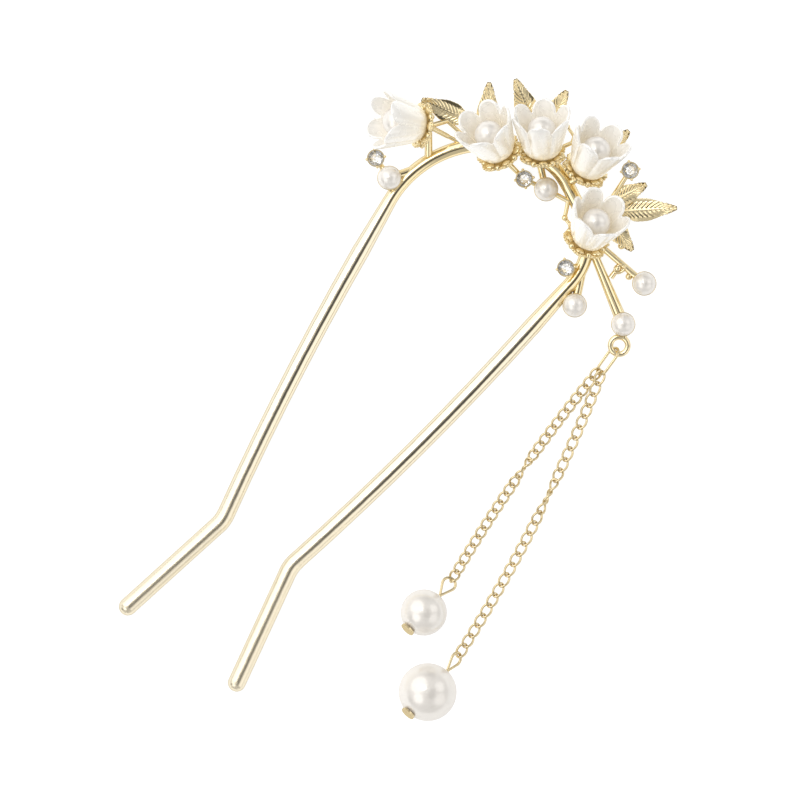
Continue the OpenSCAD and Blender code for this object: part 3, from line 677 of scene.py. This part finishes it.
# %% Where the leaves lie
# each leaf: tip and base in shares of the spray, with height in mm, then its width by its length
LEAVES = [
    ((-0.552, -0.097, 3.2), (-0.340, -0.055, 1.9), 0.42),
    ((-0.365, 0.129, 2.6), (-0.240, -0.060, 1.5), 0.40),
    ((-0.285, 0.204, 2.2), (-0.100, 0.085, 1.1), 0.42),
    ((-0.080, 0.292, 2.3), (-0.060, 0.100, 1.1), 0.46),
    ((0.229, 0.309, 2.6), (0.200, 0.140, 1.4), 0.42),
    ((0.421, 0.170, 3.0), (0.343, 0.017, 1.8), 0.45),
    ((0.584, 0.165, 2.6), (0.392, 0.010, 1.6), 0.38),
    ((0.538, -0.090, 2.2), (0.360, -0.040, 1.5), 0.46),
]
SPRAY_WIDTH = 41.1 * MM
# the third bell's foot stands at this share of the spray, so it tells where the spray starts
THIRD_BELL_SHARE = (0.0, 0.007)

spray_start = bell_foot(2) - Vector((*THIRD_BELL_SHARE, 0)) * SPRAY_WIDTH


def spray_place(share):
    start = Vector((spray_start.x, spray_start.y, 0))
    return start + Vector((share[0] * SPRAY_WIDTH, share[1] * SPRAY_WIDTH, share[2] * MM))


def leaf_row(tip_share, base_share, width_share):
    tip, base = spray_place(tip_share), spray_place(base_share)
    way = tip - base
    length = way.length
    way.normalize()
    across = Vector((0, 0, 1)).cross(way).normalized()
    return {"place": base, "way": way, "across": across, "high": way.cross(across),
            "length": length, "half_width": width_share * length / 2}


leaf_rows = [leaf_row(*leaf) for leaf in LEAVES]
print("leaf lengths in mm:", [round(row["length"] / MM, 1) for row in leaf_rows])

# %% [markdown]
# A leaf could be drawn as an outline and filled, but then its mesh would have no rows for the
# veins. A grid with rows along and across takes outline, curl, midrib and veins from one rule.
# The relief dies out towards the tip, where the sheet gets narrower than a vein.

# %% The rule of a leaf
LEAF_INPUTS = {
    "Thickness": ("NodeSocketFloat", 0.5 * MM),
    "Veins": ("NodeSocketFloat", 13.0),
    "Slant": ("NodeSocketFloat", 0.21),
    "Relief": ("NodeSocketFloat", 0.12 * MM),
    "Midrib": ("NodeSocketFloat", 0.34 * MM),
    "Margin": ("NodeSocketFloat", 0.06 * MM),
}
LEAF_OUTLINE = [(0, 0.14), (0.08, 0.44), (0.2, 0.8), (0.34, 0.99), (0.48, 0.97), (0.62, 0.79),
                (0.76, 0.52), (0.88, 0.25), (1, 0)]
LEAF_CURL = 2.2
MIDRIB_SINK, MIDRIB_TAPER = 0.1 * MM, 0.6
# veins start beside the midrib and end at a rolled margin, all in shares of the half width
VEINS_START, VEINS_FADE = 0.06, 0.16
ROLL_STARTS, ROLL_RISE = 0.86, 0.7
# relief and scallops die out where the leaf gets narrower than this share of its half width
NARROW = 0.3
SCALLOP = 0.7
BASE_OVERLAP, TIP_SHORTER = 0.8, 1.3
GRID_ALONG, GRID_ACROSS = 157, 33

leaf_tree = new_tree("stamped_leaf", LEAF_INPUTS)
g = leaf_tree
thick, veins, slant, relief, rib, margin = (g.sum(g.start, name) for name in LEAF_INPUTS)
grid = g.add("GeometryNodeMeshGrid", None, {
    "Size X": 1.0, "Size Y": 1.0, "Vertices X": GRID_ALONG, "Vertices Y": GRID_ACROSS})
flat = keep_place(g, grid, "flat")
copies = g.add("GeometryNodeInstanceOnPoints", None, {"Points": g.start.outputs[0],
                                                      "Instance": flat.outputs[0]})
loose = g.add("GeometryNodeRealizeInstances", None, {0: copies.outputs[0]})
at = g.add("ShaderNodeSeparateXYZ", None, {0: attribute(g, "flat", "FLOAT_VECTOR")})
u = g.sum(at, 0) + 0.5
v = g.sum(at, 1) * 2.0
off = v.math("ABSOLUTE")
length = Sum(g, attribute(g, "length", "FLOAT"))
half_width = Sum(g, attribute(g, "half_width", "FLOAT"))
edge = half_width * drawn_curve(g, u, LEAF_OUTLINE)
vein = ((u - slant * off) * veins).math("FRACT")
ridge = 1.0 - (vein * 2.0 - 1.0).math("ABSOLUTE")
full = (edge / (NARROW * half_width)).math("MINIMUM", 1.0)
y = v * (edge + margin * (0.5 + full * (0.5 + SCALLOP * ridge)))
curl = half_width * LEAF_CURL
sheet = thick * 0.5 - curl + (curl * curl - y * y).math("MAXIMUM", 0.0).math("SQRT")
fade = limited((off - VEINS_START) / VEINS_FADE)
roll = ((off - ROLL_STARTS) / (1.0 - ROLL_STARTS)).math("MAXIMUM", 0.0)
raised = sheet + margin * 0.5 + relief * full * (fade * ridge * (1.0 - roll) + ROLL_RISE * roll)
rib_here = rib * (1.0 - MIDRIB_TAPER * u)
rib_round = (rib_here * rib_here - y * y).math("MAXIMUM", 0.0).math("SQRT")
rib_top = thick * 0.5 - MIDRIB_SINK + full * rib_round
z = raised.math("MAXIMUM", rib_top)
reach = u * (length - (TIP_SHORTER - BASE_OVERLAP) * margin) - BASE_OVERLAP * margin
spot = added(
    g, attribute(g, "place", "FLOAT_VECTOR"),
    scaled(g, attribute(g, "way", "FLOAT_VECTOR"), reach),
    scaled(g, attribute(g, "across", "FLOAT_VECTOR"), y),
    scaled(g, attribute(g, "high", "FLOAT_VECTOR"), z))
bent = g.add("GeometryNodeSetPosition", None, {0: loose.outputs[0], "Position": spot})
smooth = g.add("GeometryNodeSetShadeSmooth", None, {0: bent.outputs[0], "Shade Smooth": True})
close_tree(g, smooth.outputs[0], gold)
print("leaf tree:", len(g.tree.nodes), "nodes")

# %% [markdown]
# The rule gives only the upper face. A Solidify modifier adds the back at the end, so each leaf
# is closed like real sheet and hides the plain solid leaf inside it.

# %% Stamp the eight leaves
LEAF_WALL = 0.6 * MM
STAMP = [("SOLIDIFY", {"thickness": LEAF_WALL, "offset": -1.0})]
leaf_points = point_mesh("leaf_points", leaf_rows)
leaf_mesh = run_tree("leaves", leaf_tree, leaf_points, LEAF_INPUTS, STAMP)
piece("stamped_leaves", leaf_mesh, "polished_gold")

# %% [markdown]
# The scalloped cup under each bell is built up from small cast drops: a puffy one on every
# scallop, a ball in every gap, and fine shot along the edge. They are all the same form, a ball
# squeezed to three half sizes, so one tree serves them. Each point carries its three half axes as
# vectors, and the tree stretches a unit ball along them.

# %% The tree of the drops
DROP_INPUTS = {"Detail": ("NodeSocketInt", 2), "Swell": ("NodeSocketFloat", 1.0)}


def drops(name, rows, material, detail):
    inputs = {**DROP_INPUTS, "Detail": ("NodeSocketInt", detail)}
    graph = new_tree(name, inputs)
    ball = graph.add("GeometryNodeMeshIcoSphere", None, {
        "Radius": 1.0, "Subdivisions": graph.start.outputs["Detail"]})
    kept = keep_place(graph, ball, "own")
    copies = graph.add("GeometryNodeInstanceOnPoints", None, {
        "Points": graph.start.outputs[0], "Instance": kept.outputs[0]})
    loose = graph.add("GeometryNodeRealizeInstances", None, {0: copies.outputs[0]})
    at = graph.add("ShaderNodeSeparateXYZ", None, {0: attribute(graph, "own", "FLOAT_VECTOR")})
    swell = graph.sum(graph.start, "Swell")
    spot = attribute(graph, "place", "FLOAT_VECTOR")
    for index, axis in enumerate(("long", "across", "high")):
        along_axis = attribute(graph, axis, "FLOAT_VECTOR")
        spot = added(graph, spot, scaled(graph, along_axis, graph.sum(at, index) * swell))
    moved = graph.add("GeometryNodeSetPosition", None, {0: loose.outputs[0], "Position": spot})
    smooth = graph.add("GeometryNodeSetShadeSmooth", None, {
        0: moved.outputs[0], "Shade Smooth": True})
    close_tree(graph, smooth.outputs[0], material)
    return run_tree(name, graph, point_mesh(name + "_points", rows), inputs)


def drop_row(place, long, across, high):
    return {"place": tuple(place), "long": tuple(long), "across": tuple(across),
            "high": tuple(high)}


print("drops ready")

# %% [markdown]
# The drops follow the six scallops of the solid cup, which is a shallow dish. Each place is
# worked out on that dish, from an angle round the bell's foot and a distance from it, so no drop
# hangs in the air. A scatter by chance would be quicker, but the caster's pattern is regular.

# %% Where the drops of a cup sit
CUP_R = 4.1 * MM
LOBE_SHARE = 0.37
LOBES = 6
DISH_R, DISH_MIDDLE = 9.32 * MM, 8.90 * MM
SHOT_A_LOBE, SHOT_R = 9, 0.26 * MM
PUFF_AT, PUFF_SIZE = 3.05 * MM, Vector((1.0, 0.95, 0.6)) * MM
PUFF_RISE = 0.1 * MM
BALL_AT, BALL_R = 3.25 * MM, 0.55 * MM
SHOT_ARC = 196


def on_dish(index, out, arm):
    """Place, outward way and upward way on the dish of a bell, at an angle and a distance."""
    bearing, lift, _ = BELLS[index]
    axis, high = aim(bearing, lift), aim(bearing, lift + 90)
    radial = -math.cos(out) * high + math.sin(out) * high.cross(axis)
    lean = math.asin(arm / DISH_R)
    place = bell_foot(index) + arm * radial + (DISH_MIDDLE - DISH_R * math.cos(lean)) * axis
    away = radial * math.cos(lean) + axis * math.sin(lean)
    upward = axis * math.cos(lean) - radial * math.sin(lean)
    return place, away, upward


def round_drop(place, radius):
    return drop_row(place, (radius, 0, 0), (0, radius, 0), (0, 0, radius))


def shot_of_lobe(index, out):
    lobe_r = CUP_R * LOBE_SHARE
    rows = []
    for step in range(SHOT_A_LOBE):
        arc = math.radians(SHOT_ARC * (step / (SHOT_A_LOBE - 1) - 0.5))
        far, aside = CUP_R - lobe_r + lobe_r * math.cos(arc), lobe_r * math.sin(arc)
        place, _, _ = on_dish(index, out + math.atan2(aside, far), math.hypot(far, aside))
        rows.append(round_drop(place, SHOT_R))
    return rows


shot, puffs = [], []
for index in range(len(BELLS)):
    for lobe in range(LOBES):
        out = 2 * math.pi * lobe / LOBES
        shot += shot_of_lobe(index, out)
        place, away, upward = on_dish(index, out, PUFF_AT)
        sideways = upward.cross(away)
        puffs.append(drop_row(place + upward * PUFF_RISE, away * PUFF_SIZE.x,
                              sideways * PUFF_SIZE.y, upward * PUFF_SIZE.z))
        place, _, _ = on_dish(index, out + math.pi / LOBES, BALL_AT)
        puffs.append(round_drop(place, BALL_R))
print("shot:", len(shot), "larger drops:", len(puffs))

# %% [markdown]
# Shot this small needs few faces, and the larger drops get one more level for their gloss. Each
# kind is one object, because the drops are soldered to the frame and never move alone.

# %% Solder them on
SHOT_DETAIL, PUFF_DETAIL = 2, 3
piece("cup_shot", drops("shot", shot, gold, SHOT_DETAIL), "polished_gold")
piece("cup_puffs", drops("puffs", puffs, gold, PUFF_DETAIL), "polished_gold")

# %% [markdown]
# The crystals are round stones in a brilliant cut: a flat table, eight star facets, eight kites
# and sixteen long triangles down to the girdle, and a cone below that a silver foil backs. A few
# facets in the right places sparkle like the real one, and no texture could, so the stone is cut
# facet by facet, with the foil as a second skin just under its cone.

# %% Cut a brilliant
STONE_R = 1.37 * MM
TABLE_SHARE, STAR_SHARE = 0.56, 0.80
CROWN, STAR_RISE, PAVILION, GIRDLE = 0.42 * MM, 0.26 * MM, 0.95 * MM, 0.05 * MM
WAIST_SHARE, WAIST_DEPTH = 0.45, 0.62
FOIL_SHARE, FOIL_DROP = 0.97, 0.03 * MM
STONE_TURNS = (11, 28, 45, 62)


def ring(share, height, offset, count=8):
    turns = [2 * math.pi * (k + offset) / count for k in range(count)]
    return [(STONE_R * share * math.cos(t), STONE_R * share * math.sin(t), height) for t in turns]


def cut_stone():
    rings = [ring(TABLE_SHARE, CROWN, 0), ring(STAR_SHARE, STAR_RISE, 0.5),
             ring(1, GIRDLE, 0, 16), ring(1, -GIRDLE, 0, 16),
             ring(WAIST_SHARE, -WAIST_DEPTH * PAVILION, 0.5)]
    points = [p for part in rings for p in part] + [(0, 0, -PAVILION)]
    table, star, waist = range(0, 8), range(8, 16), range(48, 56)
    upper, lower = range(16, 32), range(32, 48)
    tip = len(points) - 1
    crown, cone = [tuple(table)], []
    for k in range(8):
        n, before = (k + 1) % 8, (k - 1) % 8
        crown.append((table[k], star[k], table[n]))
        crown.append((table[k], star[before], upper[2 * k], star[k]))
        crown.append((star[k], upper[2 * k], upper[2 * k + 1]))
        crown.append((star[k], upper[2 * k + 1], upper[(2 * k + 2) % 16]))
        cone.append((lower[2 * k], waist[before], tip, waist[k]))
        cone.append((lower[2 * k], waist[k], lower[2 * k + 1]))
        cone.append((lower[2 * k + 1], waist[k], lower[(2 * k + 2) % 16]))
    for k in range(16):
        n = (k + 1) % 16
        crown.append((upper[k], lower[k], lower[n], upper[n]))
    return points, crown, cone


def stone_mesh(name, place, turn_degrees):
    points, crown, cone = cut_stone()
    skin = [(x * FOIL_SHARE, y * FOIL_SHARE, z - FOIL_DROP) for x, y, z in points]
    count = len(points)
    mesh = bpy.data.meshes.new(name)
    under = [tuple(count + i for i in face) for face in cone]
    mesh.from_pydata(points + skin, [], crown + cone + under)
    mesh.materials.append(crystal)
    mesh.materials.append(foil)
    for polygon in mesh.polygons:
        polygon.material_index = 1 if polygon.vertices[0] >= count else 0
    turned = Matrix.Rotation(math.radians(turn_degrees), 4, "Z")
    mesh.transform(Matrix.Translation(place) @ turned)
    return mesh


for number, turn_degrees in enumerate(STONE_TURNS, 1):
    node = f"crystal_{number}"
    place = middle(node)
    place.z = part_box(node)[1].z - CROWN
    piece(f"stone_{number}", stone_mesh(node + "_cut", place, turn_degrees), "crystal", node)

# %% [markdown]
# Between the two stems at the right the casting has a small curl, a closed loop of thin rod. It
# is the same shape as an untwisted link, so the tree of the strands draws it from one point.

# %% The curl between the stems
CURL_AT = (0.538, -0.183, 1.9)
CURL_WAY = (0.42, 0.907, 0)
CURL_SIDE = (0.907, -0.42, 0)
CURL_HALF_LENGTH, CURL_HALF_WIDTH, CURL_WIRE = 0.95 * MM, 0.6 * MM, 0.5 * MM


def flat_ring(place, axis, side, half_length):
    return {"place": tuple(place), "axis": axis, "side": side, "high": (0, 0, 1),
            "half_length": half_length, "roll": 0.0, "twist": 0.0}


curl_inputs = {**CHAIN_INPUTS, "Wire": ("NodeSocketFloat", CURL_WIRE),
               "Half width": ("NodeSocketFloat", CURL_HALF_WIDTH)}
curl_rows = [flat_ring(spray_place(CURL_AT), CURL_WAY, CURL_SIDE, CURL_HALF_LENGTH)]
curl_mesh = run_tree("curl", chain_tree, point_mesh("curl_points", curl_rows), curl_inputs)
curl_mesh.materials.clear()
curl_mesh.materials.append(gold)
piece("stem_curl", curl_mesh, "polished_gold")

# %% [markdown]
# Each set pearl sits in a cup whose thin burnished edge closes on its waist. From above only that
# edge is seen, as a fine gold line round the pearl, and the same tree draws all five.

# %% The burnished edges of the cups
EDGE_WIRE, EDGE_R, EDGE_DROP = 0.26 * MM, 1.97 * MM, 0.2 * MM
EDGE_STEPS, EDGE_SIDES = 56, 8
SET_PEARLS = 5

edge_inputs = {"Wire": ("NodeSocketFloat", EDGE_WIRE), "Half width": ("NodeSocketFloat", EDGE_R),
               "Steps": ("NodeSocketInt", EDGE_STEPS), "Sides": ("NodeSocketInt", EDGE_SIDES)}
edge_rows = []
for number in range(1, SET_PEARLS + 1):
    waist = middle(f"branch_pearl_{number}") - Vector((0, 0, EDGE_DROP))
    edge_rows.append(flat_ring(waist, (1, 0, 0), (0, 1, 0), EDGE_R))
edge_mesh = run_tree("cup_edges", chain_tree, point_mesh("edge_points", edge_rows), edge_inputs)
piece("cup_edges", edge_mesh, "polished_gold")

# %% [markdown]
# Polished metal shows what surrounds it, so the studio matters more than any setting of the gold.
# A white table gives the pale rims, a big light box at the upper left gives the broad highlight,
# a small one at the right the second, and darker gaps between them draw the fine dark lines along
# the legs. The sky is built from those patches by direction. One soft lamp adds the shading in
# the bells. The table gives most of its light itself, so the shadows on it stay as faint as in a
# product shot.

# %% The table
TABLE_HALF = 0.6
TABLE_GLOW = 0.88
TABLE_GREY = (0.3, 0.3, 0.3, 1)
TABLE_LIGHT = (0.97, 0.985, 1.0, 1)
TABLE_GAP = 0.02 * MM

floor_mesh = bpy.data.meshes.new("table")
corners = [(-TABLE_HALF, -TABLE_HALF, 0), (TABLE_HALF, -TABLE_HALF, 0),
           (TABLE_HALF, TABLE_HALF, 0), (-TABLE_HALF, TABLE_HALF, 0)]
floor_mesh.from_pydata(corners, [], [(0, 1, 2, 3)])
floor_mesh.transform(Matrix.Translation((0, 0, cad_box[0].z - TABLE_GAP)))
table_white, g, shader = finish(
    "table_white", Base_Color=TABLE_GREY, Roughness=1.0, Specular_IOR_Level=0.0,
    Emission_Color=TABLE_LIGHT, Emission_Strength=TABLE_GLOW)
floor_mesh.materials.append(table_white)
table = bpy.data.objects.new("table", floor_mesh)
bpy.context.scene.collection.objects.link(table)
table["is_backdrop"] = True
print("table at", round(floor_mesh.vertices[0].co.z / MM, 2), "mm")

# %% [markdown]
# The light boxes could be lamps, but each would then need its own place and size. A sky that is
# brighter in some directions gives the same reflections with a few sums. Two patches serve the
# legs, two more the stems that lie across them, and the small strong one puts the glint on the
# pearls.

# %% The studio round it
FRAME_TURN = math.radians(36)
SKY = 0.56
SKY_COLOUR = (1.0, 0.995, 0.99, 1)
# each patch: bearing in the picture, height above the table, half angle and soft edge in degrees,
# then its light
PATCHES = [
    (140, 42, 30, 5, 1.6),
    (214, 44, 17, 6, 1.7),
    (-32, 30, 19, 6, 1.2),
    (24, 34, 16, 6, 1.35),
    (-40, 71, 11, 7, 0.09),
    (18, 69, 7, 6, 0.1),
    (128, 69, 6, 3, 4.5),
    (80, 12, 12, 6, 0.2),
    (205, 12, 10, 6, 0.2),
]

world = bpy.data.worlds.new("studio")
bpy.context.scene.world = world
world.use_nodes = True
g = Graph(world.node_tree)
sight = g.add("ShaderNodeTexCoord").outputs["Generated"]
light = SKY
for bearing, lift, half, soft, strength in PATCHES:
    towards = aim(bearing + math.degrees(FRAME_TURN), lift)
    dot = g.add("ShaderNodeVectorMath", {"operation": "DOT_PRODUCT"}, {0: sight, 1: towards})
    outer, inner = math.cos(math.radians(half + soft)), math.cos(math.radians(half))
    mask = limited((g.sum(dot, "Value") - outer) / (inner - outer))
    light = light * (1.0 - mask) + strength * mask
background = next(n for n in world.node_tree.nodes if n.type == "BACKGROUND")
background.inputs[0].default_value = SKY_COLOUR
g.tree.links.new(light.socket, background.inputs[1])
bpy.context.scene.view_settings.view_transform = "Standard"
print("patches in the studio:", len(PATCHES))

# %% [markdown]
# A sky alone lights the hollow of a bell too evenly. One weak lamp from the upper left shades it.
# It isn't seen in reflections, so it leaves no second glint on the pearls.

# %% One soft lamp
LAMP_ACROSS, LAMP_ALONG, LAMP_HEIGHT = -0.45, 0.4, 0.55
LAMP_SIZE, LAMP_POWER = 0.3, 0.6

right = Vector((math.cos(FRAME_TURN), math.sin(FRAME_TURN), 0))
top = Vector((-math.sin(FRAME_TURN), math.cos(FRAME_TURN), 0))

lamp_data = bpy.data.lights.new("upper_left_lamp", "AREA")
lamp_data.size, lamp_data.energy = LAMP_SIZE, LAMP_POWER
lamp = bpy.data.objects.new("upper_left_lamp", lamp_data)
lamp.location = right * LAMP_ACROSS + top * LAMP_ALONG + Vector((0, 0, LAMP_HEIGHT))
lamp.rotation_euler = (-lamp.location).to_track_quat("-Z", "Y").to_euler()
lamp.visible_glossy = False
bpy.context.scene.collection.objects.link(lamp)
print("lamp at", [round(v, 2) for v in lamp.location], "m")

# %% [markdown]
# The photograph is taken straight down from a good distance, so a long lens is used. The
# picture's middle lies a little off the object's middle, and the pin lies at an angle in the
# picture, so the camera is turned and not the object.

# %% The camera
PICTURE_WIDTH = 137.9 * MM
FROM_SPRAY = Vector((4.769, -48.062, 0)) * MM
CAMERA_HEIGHT = 3.0
SENSOR = 36.0
CLIP_END = 10
picture_middle = Vector((spray_start.x, spray_start.y, 0)) + FROM_SPRAY
lens = SENSOR * CAMERA_HEIGHT / PICTURE_WIDTH

camera_data = bpy.data.cameras.new("camera")
camera_data.sensor_width = SENSOR
camera_data.lens = lens
camera_data.clip_end = CLIP_END
camera = bpy.data.objects.new("camera", camera_data)
camera.location = picture_middle + Vector((0, 0, CAMERA_HEIGHT))
camera.rotation_euler = (0, 0, FRAME_TURN)
bpy.context.scene.collection.objects.link(camera)
bpy.context.scene.camera = camera
print("lens in mm:", round(lens))

# %% [markdown]
# The dress must not reach past the solids, since others measure with them. So the last step
# prints the size of the dressed part, to set beside the size of the solids printed at the start.

# %% Keep both boxes and finish
low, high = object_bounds()
print("size when dressed in mm:", [round(v / MM, 1) for v in high - low])
